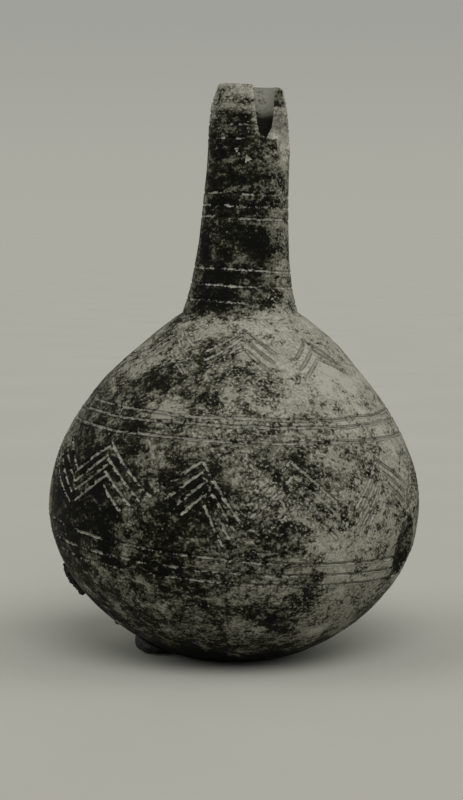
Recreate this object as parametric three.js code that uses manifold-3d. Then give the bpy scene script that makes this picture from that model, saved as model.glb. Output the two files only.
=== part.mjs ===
import * as THREE from 'three';
import Module from 'manifold-3d';
import { mergeVertices } from 'three/addons/utils/BufferGeometryUtils.js';

const wasm = await Module();
wasm.setup();

// Long-necked round-bottomed pottery bottle, hand built, with incised bands and chevrons.
// Millimetres, +Z up, origin at the middle of the small flat that the bottle rests on.
// Azimuth 0 looks out along -Y, the face with the broken lip, and grows towards +X.

// Overall form
const totalHeight = 174;
const bodyHeight = 105; // floor to the foot of the neck
const widestHeight = 46.2;
const bodyRadius = 56.5;
const restRadius = 13;
const neckFootRadius = 17.4;
const neckRadius = 12.3; // where the neck ends its taper, below the lip
const lipLength = 20; // the stretch above that, drawn in towards the lip
const lipRadius = 10.4;
const lipRound = 1.7;

// Walls and hollow
const bodyWall = 4.8;
const neckWall = 4.3;
const mouthRadius = 8;

// Set of the neck on the body
const shoulderShift = 1.7;
const shoulderShiftStart = 21; // below the neck's foot
const shoulderShiftEnd = 8;
const neckLean = THREE.MathUtils.degToRad(3.2);

// Incised lines: V-shaped, cut in the wet clay
const neckLineWidth = 1.1;
const neckLineDepth = 0.55;
const bodyLineWidth = 1.2;
const bodyLineDepth = 0.65;

// Lines round the neck: top and middle sets measured down from the lip, low set up from the neck's foot
const topNeckLines = [5.7, 9.3, 12.6, 15.9];
const middleNeckLines = [32.4, 36.4, 39.8];
const lowNeckLines = [3.5, 8.4, 13.1];

// Lines round the body: height at the sides, how far each sinks towards +X and how far towards the front
const upperBands = [
	{ height: 71.6, side: 2.3, front: 1.1 },
	{ height: 75.3, side: 1.9, front: 0.5 },
	{ height: 78.3, side: 2.1, front: 1.5 },
];
const lowerBands = [
	{ height: 32.0, side: 4.2, front: 1.3 },
	{ height: 35.6, side: 4.4, front: 1.8 },
	{ height: 39.9, side: 5.3, front: 2.3 },
];

// Chevrons: nested lines, with the strayed peaks and feet of the first ones from the left
const bellyChevrons = {
	count: 12,
	first: -72,
	stray: [-3, -1.5, 2.3, -0.5, 2],
	drops: [8.5, 12, 18, 16],
	drop: 15,
	lines: 4,
	pitch: 3.5,
	gapAbove: 4.4,
	leastPitch: 2.1,
	footDepths: [1, 0.7, 0, 0],
	slant: 1.3,
};
const shoulderChevrons = {
	count: 8,
	first: -42,
	stray: [-4.5, 1, -2],
	drops: [6.8, 8.6],
	drop: 8,
	lines: 3,
	pitch: 2.5,
	gapAbove: 4.6,
	leastPitch: 1.9,
	footDepths: [1, 0.8, 0],
	slant: 1.15,
};

// Losses: broken lip, spall low on the right, worn lip on the left
const breakDepth = 17; // below the lip
const breakLeft = 6; // azimuths of its edges at the lip and of its lowest point
const breakRight = 74;
const breakBottom = 25;
const flakeAzimuth = 52; // outer face flaked away below and beside the break
const flakeDrop = 12.5; // below the lip
const flakeTall = 17;
const flakeWide = 12;
const flakeDepth = 1.9;
const spallAzimuth = 66;
const spallHeight = 36.5;
const spallTall = 21;
const spallWide = 13;
const spallDepth = 2;
const lipWear = 1;
const lipWearAzimuth = -85;
const lipTilt = 1.2; // how much lower the lip is at +X than at -X

// Wad of putty wedged under the belly at the left
const wadDistance = 24.2; // from the bottle's axis
const wadAzimuth = -94;
const wadWide = 12.5;
const wadLong = 17;
const wadHeight = 7.5;
const wadClearance = 0.3;

// Facets
const sides = 48;
const cavitySides = 26;
const cutMargin = 4; // how far a cutting solid stands past the surface it cuts

// Half-section of the outside, from the edge of the flat to the top of the lip
function outsidePath() {
	const belly = 0.61 * widestHeight;
	const shoulder = 0.49 * (bodyHeight - widestHeight);
	const footSweep = 0.3 * (bodyRadius - neckFootRadius);
	const footSlope = 0.6;
	const neckLength = totalHeight - lipLength - bodyHeight;
	const path = new THREE.Path();
	path.moveTo(restRadius, 0);
	path.bezierCurveTo(
		restRadius + 0.2 * bodyRadius, 0,
		bodyRadius, widestHeight - belly,
		bodyRadius, widestHeight,
	);
	path.bezierCurveTo(
		bodyRadius, widestHeight + shoulder,
		neckFootRadius + footSweep * Math.cos(footSlope), bodyHeight - footSweep * Math.sin(footSlope),
		neckFootRadius, bodyHeight,
	);
	path.bezierCurveTo(
		neckFootRadius - 0.25, bodyHeight + 1,
		neckRadius + 0.8, bodyHeight + 0.22 * neckLength,
		neckRadius, bodyHeight + neckLength,
	);
	path.quadraticCurveTo(
		neckRadius - 0.2, totalHeight - lipRound - 0.4 * lipLength,
		lipRadius, totalHeight - lipRound,
	);
	path.quadraticCurveTo(lipRadius, totalHeight, lipRadius - lipRound, totalHeight);
	return path;
}

const outline = outsidePath().getPoints(40);

function outerRadius(height) {
	const upper = outline.findIndex((point) => point.y >= height);
	if (upper < 1) {
		return upper === 0 ? restRadius : lipRadius - lipRound;
	}
	const low = outline[upper - 1];
	const high = outline[upper];
	return THREE.MathUtils.mapLinear(height, low.y, high.y, low.x, high.x);
}

// Outward normal of the half-section, as (radial, upward)
function outerNormal(height) {
	const step = 0.4;
	const slope = (outerRadius(height + step) - outerRadius(height - step)) / (2 * step);
	return new THREE.Vector2(1, -slope).normalize();
}

// How far the axis stands off to +X at a height
function axisOffset(height) {
	const shift = THREE.MathUtils.smoothstep(
		height, bodyHeight - shoulderShiftStart, bodyHeight - shoulderShiftEnd,
	);
	const leaning = THREE.MathUtils.clamp(height, bodyHeight, totalHeight - lipLength) - bodyHeight;
	return shoulderShift * shift + Math.tan(neckLean) * leaning;
}

function onAxis(azimuth, radius, height) {
	return new THREE.Vector3(
		radius * Math.sin(azimuth) + axisOffset(height),
		-radius * Math.cos(azimuth),
		height,
	);
}

// Rings of the outside. A ring gives its height and its depth under the smooth surface at each column.
const rings = [];

function columnAzimuth(column) {
	return THREE.MathUtils.degToRad(bellyChevrons.first + (360 * column) / sides);
}

function addRing(heightAt, depthAt = () => 0, strayAt = () => 0) {
	rings.push({ heightAt, depthAt, strayAt });
}

function addPlain(height) {
	addRing(() => height);
}

// Three rings make one V-shaped line
function addLine(heightAt, width, depthAt, strayAt) {
	const reach = (column) => 0.5 * width * outerNormal(heightAt(column)).x;
	addRing((column) => heightAt(column) - reach(column), undefined, strayAt);
	addRing(heightAt, depthAt, strayAt);
	addRing((column) => heightAt(column) + reach(column), undefined, strayAt);
}

function bandHeight(band, column) {
	const azimuth = columnAzimuth(column);
	return band.height - band.side * Math.sin(azimuth) - band.front * Math.cos(azimuth);
}

function addBands(bands) {
	for (const band of bands) {
		addLine((column) => bandHeight(band, column), bodyLineWidth, () => bodyLineDepth);
	}
}

// A running zigzag: where a column stands between peak (0) and foot (1), and which chevron it is in
function chevronPlace(chevrons, column) {
	const columnsEach = sides / chevrons.count;
	const firstColumn = ((chevrons.first - bellyChevrons.first) * sides) / 360;
	const along = (((column - firstColumn) % sides) + sides) % sides / columnsEach;
	const index = Math.floor(along);
	const part = along - index;
	return { index, part, toFoot: 1 - Math.abs(1 - 2 * part) };
}

function strayOf(chevrons, column) {
	const { index, part } = chevronPlace(chevrons, column);
	const here = chevrons.stray[index] ?? 0;
	const next = chevrons.stray[(index + 1) % chevrons.count] ?? 0;
	return THREE.MathUtils.degToRad(THREE.MathUtils.lerp(here, next, part));
}

// Nested chevron lines hang below a ceiling and keep clear of a floor, both functions of the column
function addChevrons(chevrons, ceilingAt, floorAt) {
	const { lines, pitch, leastPitch, gapAbove } = chevrons;
	for (let line = lines - 1; line >= 0; line -= 1) {
		const heightAt = (column) => {
			const { index, toFoot } = chevronPlace(chevrons, column);
			const peak = ceilingAt(column) - gapAbove - line * pitch;
			const lowest = floorAt(column) + (lines - line) * leastPitch;
			const foot = Math.max(peak - (chevrons.drops[index] ?? chevrons.drop), lowest);
			return THREE.MathUtils.lerp(peak, foot, toFoot);
		};
		const depthAt = (column) => {
			const { toFoot } = chevronPlace(chevrons, column);
			return bodyLineDepth * (toFoot < 1 ? 1 : chevrons.footDepths[line]);
		};
		const strayAt = (column) => strayOf(chevrons, column);
		addLine(heightAt, bodyLineWidth * chevrons.slant, depthAt, strayAt);
		if (line === 0) {
			addRing((column) => 0.5 * (heightAt(column) + ceilingAt(column)), undefined, strayAt);
		}
	}
}

// Lines round the neck lie square to its leaning axis
function addNeckLine(height) {
	const tilt = Math.tan(neckLean) * outerRadius(height);
	const heightAt = (column) => height - tilt * Math.sin(columnAzimuth(column));
	addLine(heightAt, neckLineWidth, () => neckLineDepth);
}

function addNeckLines(heights) {
	for (const height of heights) {
		addNeckLine(height);
	}
}

function stackRings() {
	const lowest = lowerBands[0].height - lowerBands[0].side - lowerBands[0].front;
	const belly = (column) => bandHeight(lowerBands[lowerBands.length - 1], column);
	const waist = (column) => bandHeight(upperBands[0], column);
	const crown = (column) => bandHeight(upperBands[upperBands.length - 1], column);
	addPlain(0);
	for (const share of [0.03, 0.13, 0.3, 0.52, 0.76]) {
		addPlain(share * lowest);
	}
	addRing((column) => 0.5 * (0.76 * lowest + bandHeight(lowerBands[0], column)));
	addBands(lowerBands);
	addChevrons(bellyChevrons, waist, belly);
	addBands(upperBands);
	addRing((column) => crown(column) + 0.2 * (bodyHeight - crown(column)));
	addChevrons(shoulderChevrons, () => bodyHeight, crown);
	addPlain(bodyHeight);
	addNeckLines(lowNeckLines.map((rise) => bodyHeight + rise));
	addNeckLines(middleNeckLines.map((drop) => totalHeight - drop).reverse());
	addNeckLines(topNeckLines.map((drop) => totalHeight - drop).reverse());
	addPlain(totalHeight - lipRound);
	addPlain(totalHeight - 0.3 * lipRound);
	addPlain(totalHeight);
}

// How much of the lip's wear and tilt a height takes: none below the lip, all at the top
function nearLip(height) {
	return THREE.MathUtils.smoothstep(height, totalHeight - 0.4 * lipLength, totalHeight);
}

function lipLoss(azimuth, height) {
	const facing = Math.max(0, Math.cos(azimuth - THREE.MathUtils.degToRad(lipWearAzimuth)));
	return lipWear * facing * nearLip(height);
}

function lipDrop(azimuth, height) {
	return 0.5 * lipTilt * (1 + Math.sin(azimuth)) * nearLip(height);
}

function ringPoint(ring, column) {
	const height = ring.heightAt(column);
	const azimuth = columnAzimuth(column) + ring.strayAt(column);
	const normal = outerNormal(height);
	const depth = ring.depthAt(column);
	const radius = outerRadius(height) - depth * normal.x - lipLoss(azimuth, height);
	return onAxis(azimuth, radius, height - depth * normal.y - lipDrop(azimuth, height));
}

// The outside as a closed turned body, each of its points then set on its own ring
function outsideGeometry() {
	stackRings();
	const section = [new THREE.Vector2(0, 0)];
	for (const ring of rings) {
		const height = ring.heightAt(0);
		section.push(new THREE.Vector2(outerRadius(height), height));
	}
	section.push(new THREE.Vector2(0, totalHeight));
	const geometry = new THREE.LatheGeometry(section, sides);
	const position = geometry.getAttribute('position');
	for (let column = 0; column <= sides; column += 1) {
		rings.forEach((ring, level) => {
			const point = ringPoint(ring, column % sides);
			position.setXYZ(column * section.length + level + 1, point.x, point.y, point.z);
		});
		const first = column * section.length;
		position.setXYZ(first, 0, 0, 0);
		position.setXYZ(first + section.length - 1, axisOffset(totalHeight), 0, totalHeight - 0.5 * lipTilt);
	}
	return geometry;
}

// Half-section of the hollow: the outside set in by the wall, then a bore up through the mouth
function cavitySection() {
	const section = [new THREE.Vector2(0, bodyWall)];
	const bodySteps = 15;
	const neckSteps = 7;
	const top = bodyHeight - 0.5 * bodyWall;
	for (let i = 1; i <= bodySteps; i += 1) {
		const turn = (Math.PI * i) / (bodySteps + 1);
		const height = 0.5 * top * (1 - Math.cos(turn));
		const normal = outerNormal(height);
		const inner = new THREE.Vector2(outerRadius(height), height).addScaledVector(normal, -bodyWall);
		const last = section[section.length - 1];
		if (inner.y > last.y && inner.x > neckFootRadius - neckWall) {
			section.push(inner);
		}
	}
	for (let i = 0; i <= neckSteps; i += 1) {
		const height = THREE.MathUtils.lerp(bodyHeight, totalHeight - lipRound, i / neckSteps);
		section.push(new THREE.Vector2(Math.max(outerRadius(height) - neckWall, mouthRadius), height));
	}
	section.push(new THREE.Vector2(mouthRadius, totalHeight + cutMargin));
	section.push(new THREE.Vector2(0, totalHeight + cutMargin));
	return section;
}

function latheUp(section, count) {
	const geometry = new THREE.LatheGeometry(section, count);
	geometry.rotateX(Math.PI / 2);
	return geometry;
}

function leaned(geometry) {
	const position = geometry.getAttribute('position');
	for (let i = 0; i < position.count; i += 1) {
		position.setX(i, position.getX(i) + axisOffset(position.getZ(i)));
	}
	return geometry;
}

// Missing piece of the lip, drawn flat as (azimuth, height) and bent round the neck
function lipBreak() {
	const bottom = totalHeight - breakDepth;
	const above = totalHeight + cutMargin;
	const outlinePoints = [
		[breakLeft, above],
		[breakLeft + 1, totalHeight - 0.15 * breakDepth],
		[breakLeft + 5, totalHeight - 0.5 * breakDepth],
		[breakLeft + 8, totalHeight - 0.8 * breakDepth],
		[breakBottom - 7, bottom + 0.05 * breakDepth],
		[breakBottom, bottom],
		[breakBottom + 12, bottom + 0.1 * breakDepth],
		[breakBottom + 22, bottom + 0.35 * breakDepth],
		[breakRight - 17, bottom + 0.62 * breakDepth],
		[breakRight - 8, totalHeight - 0.18 * breakDepth],
		[breakRight, above],
	];
	const shape = new THREE.Shape(outlinePoints.map(([azimuth, height]) => new THREE.Vector2(azimuth, height)));
	const inside = 0.4 * mouthRadius;
	const outside = neckRadius + cutMargin;
	const geometry = new THREE.ExtrudeGeometry(shape, { depth: outside - inside, bevelEnabled: false });
	const position = geometry.getAttribute('position');
	for (let i = 0; i < position.count; i += 1) {
		const azimuth = THREE.MathUtils.degToRad(position.getX(i));
		const point = onAxis(azimuth, inside + position.getZ(i), position.getY(i));
		position.setXYZ(i, point.x, point.y, point.z);
	}
	return geometry;
}

// Flattened ball, half sunk in the outside, that cuts a shallow dish
function dishCutter(degrees, height, wide, tall, depth) {
	const azimuth = THREE.MathUtils.degToRad(degrees);
	const normal = outerNormal(height);
	const geometry = new THREE.SphereGeometry(1, 14, 10);
	geometry.scale(0.5 * wide, depth, 0.5 * tall);
	geometry.rotateX(-Math.atan2(normal.y, normal.x));
	geometry.rotateZ(azimuth);
	const place = onAxis(azimuth, outerRadius(height), height);
	geometry.translate(place.x, place.y, place.z);
	return geometry;
}

// Wad: a low round-edged pat, flat on the ground, topped by the belly above it
function wadGeometry() {
	const section = [
		new THREE.Vector2(0, 0),
		new THREE.Vector2(0.78, 0),
		new THREE.Vector2(0.94, 0.14),
		new THREE.Vector2(1, 0.36),
		new THREE.Vector2(0.97, 0.62),
		new THREE.Vector2(0.82, 0.86),
		new THREE.Vector2(0.5, 1),
		new THREE.Vector2(0, 1),
	];
	const azimuth = THREE.MathUtils.degToRad(wadAzimuth);
	const geometry = latheUp(section, 24);
	geometry.scale(0.5 * wadLong, 0.5 * wadWide, wadHeight);
	geometry.rotateZ(azimuth);
	geometry.translate(wadDistance * Math.sin(azimuth), -wadDistance * Math.cos(azimuth), 0);
	return geometry;
}

// The belly's underside swollen by the clearance, to shape the wad's top
function bellyEnvelope() {
	const section = [new THREE.Vector2(0, -wadClearance)];
	const steps = 14;
	for (let i = 0; i <= steps; i += 1) {
		const height = widestHeight * (i / steps) ** 2;
		const normal = outerNormal(Math.max(height, 0.5));
		section.push(new THREE.Vector2(outerRadius(height), height).addScaledVector(normal, wadClearance));
	}
	section.push(new THREE.Vector2(0, widestHeight));
	return latheUp(section, sides);
}

function solidOf(geometry) {
	const bare = geometry.clone();
	bare.deleteAttribute('normal');
	bare.deleteAttribute('uv');
	const merged = mergeVertices(bare, 1e-4);
	return new wasm.Manifold(new wasm.Mesh({
		numProp: 3,
		vertProperties: new Float32Array(merged.getAttribute('position').array),
		triVerts: new Uint32Array(merged.getIndex().array),
	}));
}

function geometryOf(solid) {
	const mesh = solid.getMesh();
	const geometry = new THREE.BufferGeometry();
	geometry.setAttribute('position', new THREE.BufferAttribute(new Float32Array(mesh.vertProperties), 3));
	geometry.setIndex(new THREE.BufferAttribute(new Uint32Array(mesh.triVerts), 1));
	geometry.computeVertexNormals();
	return geometry;
}

function makeVessel() {
	const cavity = leaned(latheUp(cavitySection(), cavitySides));
	const neckFlake = dishCutter(flakeAzimuth, totalHeight - flakeDrop, flakeWide, flakeTall, flakeDepth);
	const bellySpall = dishCutter(spallAzimuth, spallHeight, spallWide, spallTall, spallDepth);
	const solid = solidOf(outsideGeometry())
		.subtract(solidOf(cavity))
		.subtract(solidOf(lipBreak()))
		.subtract(solidOf(neckFlake))
		.subtract(solidOf(bellySpall));
	const clay = new THREE.MeshStandardMaterial({ color: 0x4a483d, roughness: 0.8, metalness: 0 });
	const mesh = new THREE.Mesh(geometryOf(solid), clay);
	mesh.name = 'vessel';
	return mesh;
}

function makeWad() {
	const solid = solidOf(wadGeometry()).subtract(solidOf(bellyEnvelope()));
	const putty = new THREE.MeshStandardMaterial({ color: 0x1f1e19, roughness: 0.75, metalness: 0 });
	const mesh = new THREE.Mesh(geometryOf(solid), putty);
	mesh.name = 'putty_wad';
	return mesh;
}

const bottle = new THREE.Group();
bottle.add(makeVessel(), makeWad());

export default bottle;
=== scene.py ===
import math
import random

import bpy
import numpy as np
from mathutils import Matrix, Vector, kdtree, noise


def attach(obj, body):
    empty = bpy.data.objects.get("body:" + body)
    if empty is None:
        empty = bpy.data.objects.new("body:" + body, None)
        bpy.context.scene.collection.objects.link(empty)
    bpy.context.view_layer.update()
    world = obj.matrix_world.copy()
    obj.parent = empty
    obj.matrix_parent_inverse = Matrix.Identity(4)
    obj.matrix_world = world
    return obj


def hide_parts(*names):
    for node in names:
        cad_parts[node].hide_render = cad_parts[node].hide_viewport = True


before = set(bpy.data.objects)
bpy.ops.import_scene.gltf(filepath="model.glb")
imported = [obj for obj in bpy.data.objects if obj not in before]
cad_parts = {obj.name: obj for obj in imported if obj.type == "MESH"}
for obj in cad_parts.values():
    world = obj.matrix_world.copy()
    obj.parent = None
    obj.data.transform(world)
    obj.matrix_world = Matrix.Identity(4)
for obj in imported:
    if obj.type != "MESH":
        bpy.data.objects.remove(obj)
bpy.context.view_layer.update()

random.seed(11)
mm = 0.001
tau = 2 * math.pi


# Blender housekeeping

def deselectAll():
    if bpy.context.mode != "OBJECT":
        bpy.ops.object.mode_set(mode="OBJECT")
    bpy.ops.object.select_all(action="DESELECT")


def makeActive(obj):
    deselectAll()
    obj.select_set(True)
    bpy.context.view_layer.objects.active = obj


def named(name):
    obj = bpy.context.object
    obj.name = name
    obj.data.name = name
    return obj


def placeInMesh(obj):
    makeActive(obj)
    bpy.ops.object.transform_apply(location=True, rotation=True, scale=True)


def readPoints(obj):
    flat = np.zeros(len(obj.data.vertices) * 3)
    obj.data.vertices.foreach_get("co", flat)
    return flat.reshape(-1, 3) / mm


def writePoints(obj, points):
    obj.data.vertices.foreach_set("co", (points * mm).ravel())
    obj.data.update()


def outwards(obj):
    makeActive(obj)
    bpy.ops.object.mode_set(mode="EDIT")
    bpy.ops.mesh.select_all(action="SELECT")
    bpy.ops.mesh.remove_doubles(threshold=1e-7)
    bpy.ops.mesh.normals_make_consistent(inside=False)
    bpy.ops.object.mode_set(mode="OBJECT")


def cutAway(obj, cutter):
    makeActive(obj)
    cut = obj.modifiers.new("cut", "BOOLEAN")
    cut.object = cutter
    cut.operation = "DIFFERENCE"
    cut.solver = "MANIFOLD"
    cut.material_mode = "TRANSFER"
    bpy.ops.object.modifier_apply(modifier=cut.name)
    bpy.data.objects.remove(cutter)


def smoothStep(value, low, high):
    part = np.clip((np.asarray(value, float) - low) / (high - low), 0, 1)
    return part * part * (3 - 2 * part)


def roughness(points, size, octaves=3, seed=0):
    shift = Vector((seed * 7.3, seed * 3.1, seed * 5.7))
    return np.array([noise.fractal(Vector(p) / size + shift, 1.0, 2.0, octaves) for p in points])


# The bottle's form, in millimetres and degrees, the same sizes as the solid

bottle = {
    "height": 174, "bodyHeight": 105, "widestHeight": 46.2, "bodyRadius": 56.5, "restRadius": 13,
    "neckFootRadius": 17.4, "neckRadius": 12.3, "lipLength": 20, "lipRadius": 10.4, "lipRound": 1.7,
    "bodyWall": 4.8, "neckWall": 4.3, "mouthRadius": 8, "insideRough": 0.22,
    "shift": 1.7, "shiftFrom": 84, "shiftTo": 97, "lean": 3.2,
    "lipWear": 1, "lipWearAzimuth": -85, "lipTilt": 1.2,
    "lowBulge": 0.4, "bulgeFrom": 45, "bulgeTo": 22,  # how far the lower belly swells to the right
    # hand-built unevenness: how high, and how far apart
    "waves": 0.28, "wavesApart": 26, "dents": 0.09, "dentsApart": 6, "grain": 0.035, "grainApart": 1.6,
    "crustRise": 0.12,
    # the mesh: columns round it, steps up it, steps across a line, and how near a chevron it is made finer
    "columns": 220, "bodyStep": 1.4, "neckStep": 1.5, "bodyLineStep": 0.34, "neckLineStep": 0.36,
    "finerWithin": (1.5, 0.7), "bandsStart": 6,
}

lines = {
    "bodyWidth": 1.15, "bodyDepth": 0.5, "neckWidth": 0.9, "neckDepth": 0.26,
    "topNeck": [5.7, 9.3, 12.6, 16.8], "middleNeck": [33.2, 37.0, 40.4], "lowNeck": [3.5, 8.4, 13.1],
    # height, how far each sinks towards +X and towards the front
    "upperBands": [(71.6, 2.3, 1.1), (75.3, 1.9, 0.5), (78.3, 2.1, 1.5)],
    "lowerBands": [(32.0, 4.2, 1.3), (35.6, 4.4, 1.8), (39.9, 5.3, 2.3)],
    # step between samples, how far the hand strays and how unevenly it presses, raised edge, easing off
    "sampleStep": 0.16, "wander": 0.2, "press": 0.35, "burr": 0.1, "taper": 1.8,
    # how much pale fill is left in each set
    "topFill": 0.0, "middleFill": 0.42, "lowFill": 0.46, "upperFill": 0.66, "lowerFill": 0.38,
    "farFill": 0.5, "fillVaries": 0.4, "dashFill": 0.75,
    # azimuth, height, reach in mm: dashes of fill still left near the lip
    "lipDashes": [(-26, 161.4, 0.7), (-8, 161.4, 1.8), (-40, 157.2, 1.3), (-12, 157.2, 1.9)],
}


curveSteps = 400  # samples of each part of the outline; the first part is the flat that the bottle rests on


def bezier(points):
    points = np.array(points, float)
    t = np.linspace(0, 1, curveSteps)[:, None]
    degree = len(points) - 1
    return sum(math.comb(degree, i) * (1 - t) ** (degree - i) * t ** i * p for i, p in enumerate(points))


def outlinePath():
    b = bottle
    belly = 0.61 * b["widestHeight"]
    shoulder = 0.49 * (b["bodyHeight"] - b["widestHeight"])
    sweep = 0.3 * (b["bodyRadius"] - b["neckFootRadius"])
    slope = 0.6
    foot = (b["neckFootRadius"], b["bodyHeight"])
    neckTop = b["height"] - b["lipLength"]
    parts = [
        [(0, 0), (b["restRadius"], 0)],
        [(b["restRadius"], 0), (b["restRadius"] + 0.2 * b["bodyRadius"], 0),
         (b["bodyRadius"], b["widestHeight"] - belly), (b["bodyRadius"], b["widestHeight"])],
        [(b["bodyRadius"], b["widestHeight"]), (b["bodyRadius"], b["widestHeight"] + shoulder),
         (foot[0] + sweep * math.cos(slope), foot[1] - sweep * math.sin(slope)), foot],
        [foot, (foot[0] - 0.25, foot[1] + 1),
         (b["neckRadius"] + 0.8, foot[1] + 0.22 * (neckTop - foot[1])), (b["neckRadius"], neckTop)],
        [(b["neckRadius"], neckTop),
         (b["neckRadius"] - 0.2, b["height"] - b["lipRound"] - 0.4 * b["lipLength"]),
         (b["lipRadius"], b["height"] - b["lipRound"])],
        [(b["lipRadius"], b["height"] - b["lipRound"]), (b["lipRadius"], b["height"]),
         (b["lipRadius"] - b["lipRound"], b["height"])],
    ]
    curve = np.concatenate([bezier(part)[:-1] for part in parts] + [[parts[-1][-1]]])
    along = np.concatenate([[0], np.cumsum(np.hypot(*np.diff(curve, axis=0).T))])
    return curve[:, 0], curve[:, 1], along


pathRadius, pathHeight, pathAlong = outlinePath()
tangent = np.gradient(np.stack([pathRadius, pathHeight], 1), pathAlong, axis=0)
tangent /= np.linalg.norm(tangent, axis=1)[:, None]
wall = slice(curveSteps, None)  # the outline above the flat


def radiusAt(height):
    return np.interp(height, pathHeight[wall], pathRadius[wall])


def alongAt(height):
    return np.interp(height, pathHeight[wall], pathAlong[wall])


def normalAt(height):
    outward = np.interp(height, pathHeight[wall], tangent[wall, 1])
    upward = -np.interp(height, pathHeight[wall], tangent[wall, 0])
    return outward, upward


def axisOffset(height):
    b = bottle
    leaning = np.clip(height, b["bodyHeight"], b["height"] - b["lipLength"]) - b["bodyHeight"]
    shifted = b["shift"] * smoothStep(height, b["shiftFrom"], b["shiftTo"])
    return shifted + math.tan(math.radians(b["lean"])) * leaning


def onSurface(azimuth, height):  # azimuth in radians, before the neck's lean
    radius = radiusAt(height)
    return np.stack([radius * np.sin(azimuth), -radius * np.cos(azimuth), height + 0 * radius], -1)


def bandHeight(band, azimuth):
    return band[0] - band[1] * np.sin(azimuth) - band[2] * np.cos(azimuth)


# Incised lines: each is a run of samples on the surface, with its own width and depth

chevronLegs = [
    # first line from and to (azimuth, height), the step from line to line at both ends, lines, fill left
    ((-71, 69.2), (-58, 60.5), (-2.2, -2.6), (-0.4, -3.2), 4, 0.64),
    ((-79, 69.5), (-93, 59), (1.2, -3.0), (1.5, -2.8), 4, 0.60),
    ((-44.8, 68.1), (-58.8, 59.6), (0.9, -2.7), (1.0, -2.6), 4, 0.66),
    ((-43.8, 68.8), (-25.2, 55.2), (0.4, -3.9), (-3.4, -1.5), 4, 0.66),
    ((-10.2, 65.2), (-23, 56.7), (0.6, -2.9), (2.6, -2.0), 4, 0.62),
    ((-9.5, 64.9), (2.6, 47.6), (0.3, -3.9), (-2.0, -1.9), 4, 0.52),
    ((17.2, 64.7), (3.8, 53.4), (0.5, -3.6), (0.9, -3.5), 4, 0.54),
    ((17.8, 64.9), (36, 48.9), (0.6, -3.8), (-1.6, -2.1), 4, 0.54),
    ((50.3, 63.6), (36.8, 49.5), (-0.8, -3.9), (1.4, -2.4), 4, 0.60),
    ((50.5, 63.6), (64, 56.4), (1.6, -3.6), (0.4, -3.9), 4, 0.58),
    ((-41.2, 100.3), (-28.8, 96.4), (-0.4, -2.7), (1.5, -3.7), 3, 0.90),
    ((-49, 101.2), (-60, 95.4), (0.8, -2.8), (1.2, -2.8), 3, 0.80),
    ((2.5, 100.7), (-19.8, 94.6), (-1.2, -2.3), (2.4, -2.0), 3, 0.80),
    ((3.5, 100.6), (19.5, 94.2), (0.2, -2.7), (-1.5, -2.6), 3, 0.70),
    ((45, 97.6), (57, 92.4), (0.4, -2.7), (2.6, -2.4), 3, 0.70),
    ((44, 97.6), (31, 92.6), (0.2, -2.8), (0.6, -2.9), 3, 0.60),
]

farChevrons = [
    # the sides and the back: azimuths of the peaks, their height, half width, drop, lines, step down
    {"peaks": [78, 108, 137, 168, 198, 227, 257], "height": 64.8, "half": 13.5, "drop": 12.5,
     "count": 4, "step": 3.5},
    {"peaks": [92, 137, 182, 226, 271], "height": 98.2, "half": 15, "drop": 6.4, "count": 3, "step": 2.5},
]


class Strokes:
    def __init__(self):
        self.points = []
        self.half = []
        self.depth = []
        self.fill = []
        self.free = []  # whether it ends, as a chevron's leg does

    def add(self, azimuths, heights, width, depth, fill, closed=False):
        seed = len(self.points)
        ends = onSurface(np.array(azimuths), np.array(heights))
        length = np.linalg.norm(np.diff(ends, axis=0), axis=1).sum()
        count = max(6, int(length / lines["sampleStep"]))
        t = np.linspace(0, 1, count)
        knots = np.linspace(0, 1, len(azimuths))
        azimuth = np.interp(t, knots, azimuths)
        height = np.interp(t, knots, heights)
        left = np.interp(t, knots, fill * np.ones(len(azimuths)))
        for i in range(count):
            # the hand wanders slowly and quickly, presses unevenly and eases off at the ends
            place = Vector((t[i] * length / 6, seed * 0.37, 4.2))
            wander = lines["wander"] * noise.noise(place * 0.6)
            wander += 0.35 * lines["wander"] * noise.noise(place * 2.5)
            ease = 1 if closed else min(1, min(t[i], 1 - t[i]) * length / lines["taper"] + 0.15)
            press = 1 + lines["press"] * noise.noise(place * 1.2 + Vector((9, 0, 0)))
            point = onSurface(azimuth[i], height[i] + wander * 1.6)
            self.points.append(point)
            self.half.append(0.5 * width * (0.85 + 0.15 * ease) * (0.6 + 0.4 * press))
            self.depth.append(depth * ease * press)
            self.free.append(not closed)
            patchy = noise.noise(place * 0.9 + Vector((0, 0, 30)))
            self.fill.append(left[i] + lines["fillVaries"] * patchy)


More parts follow.
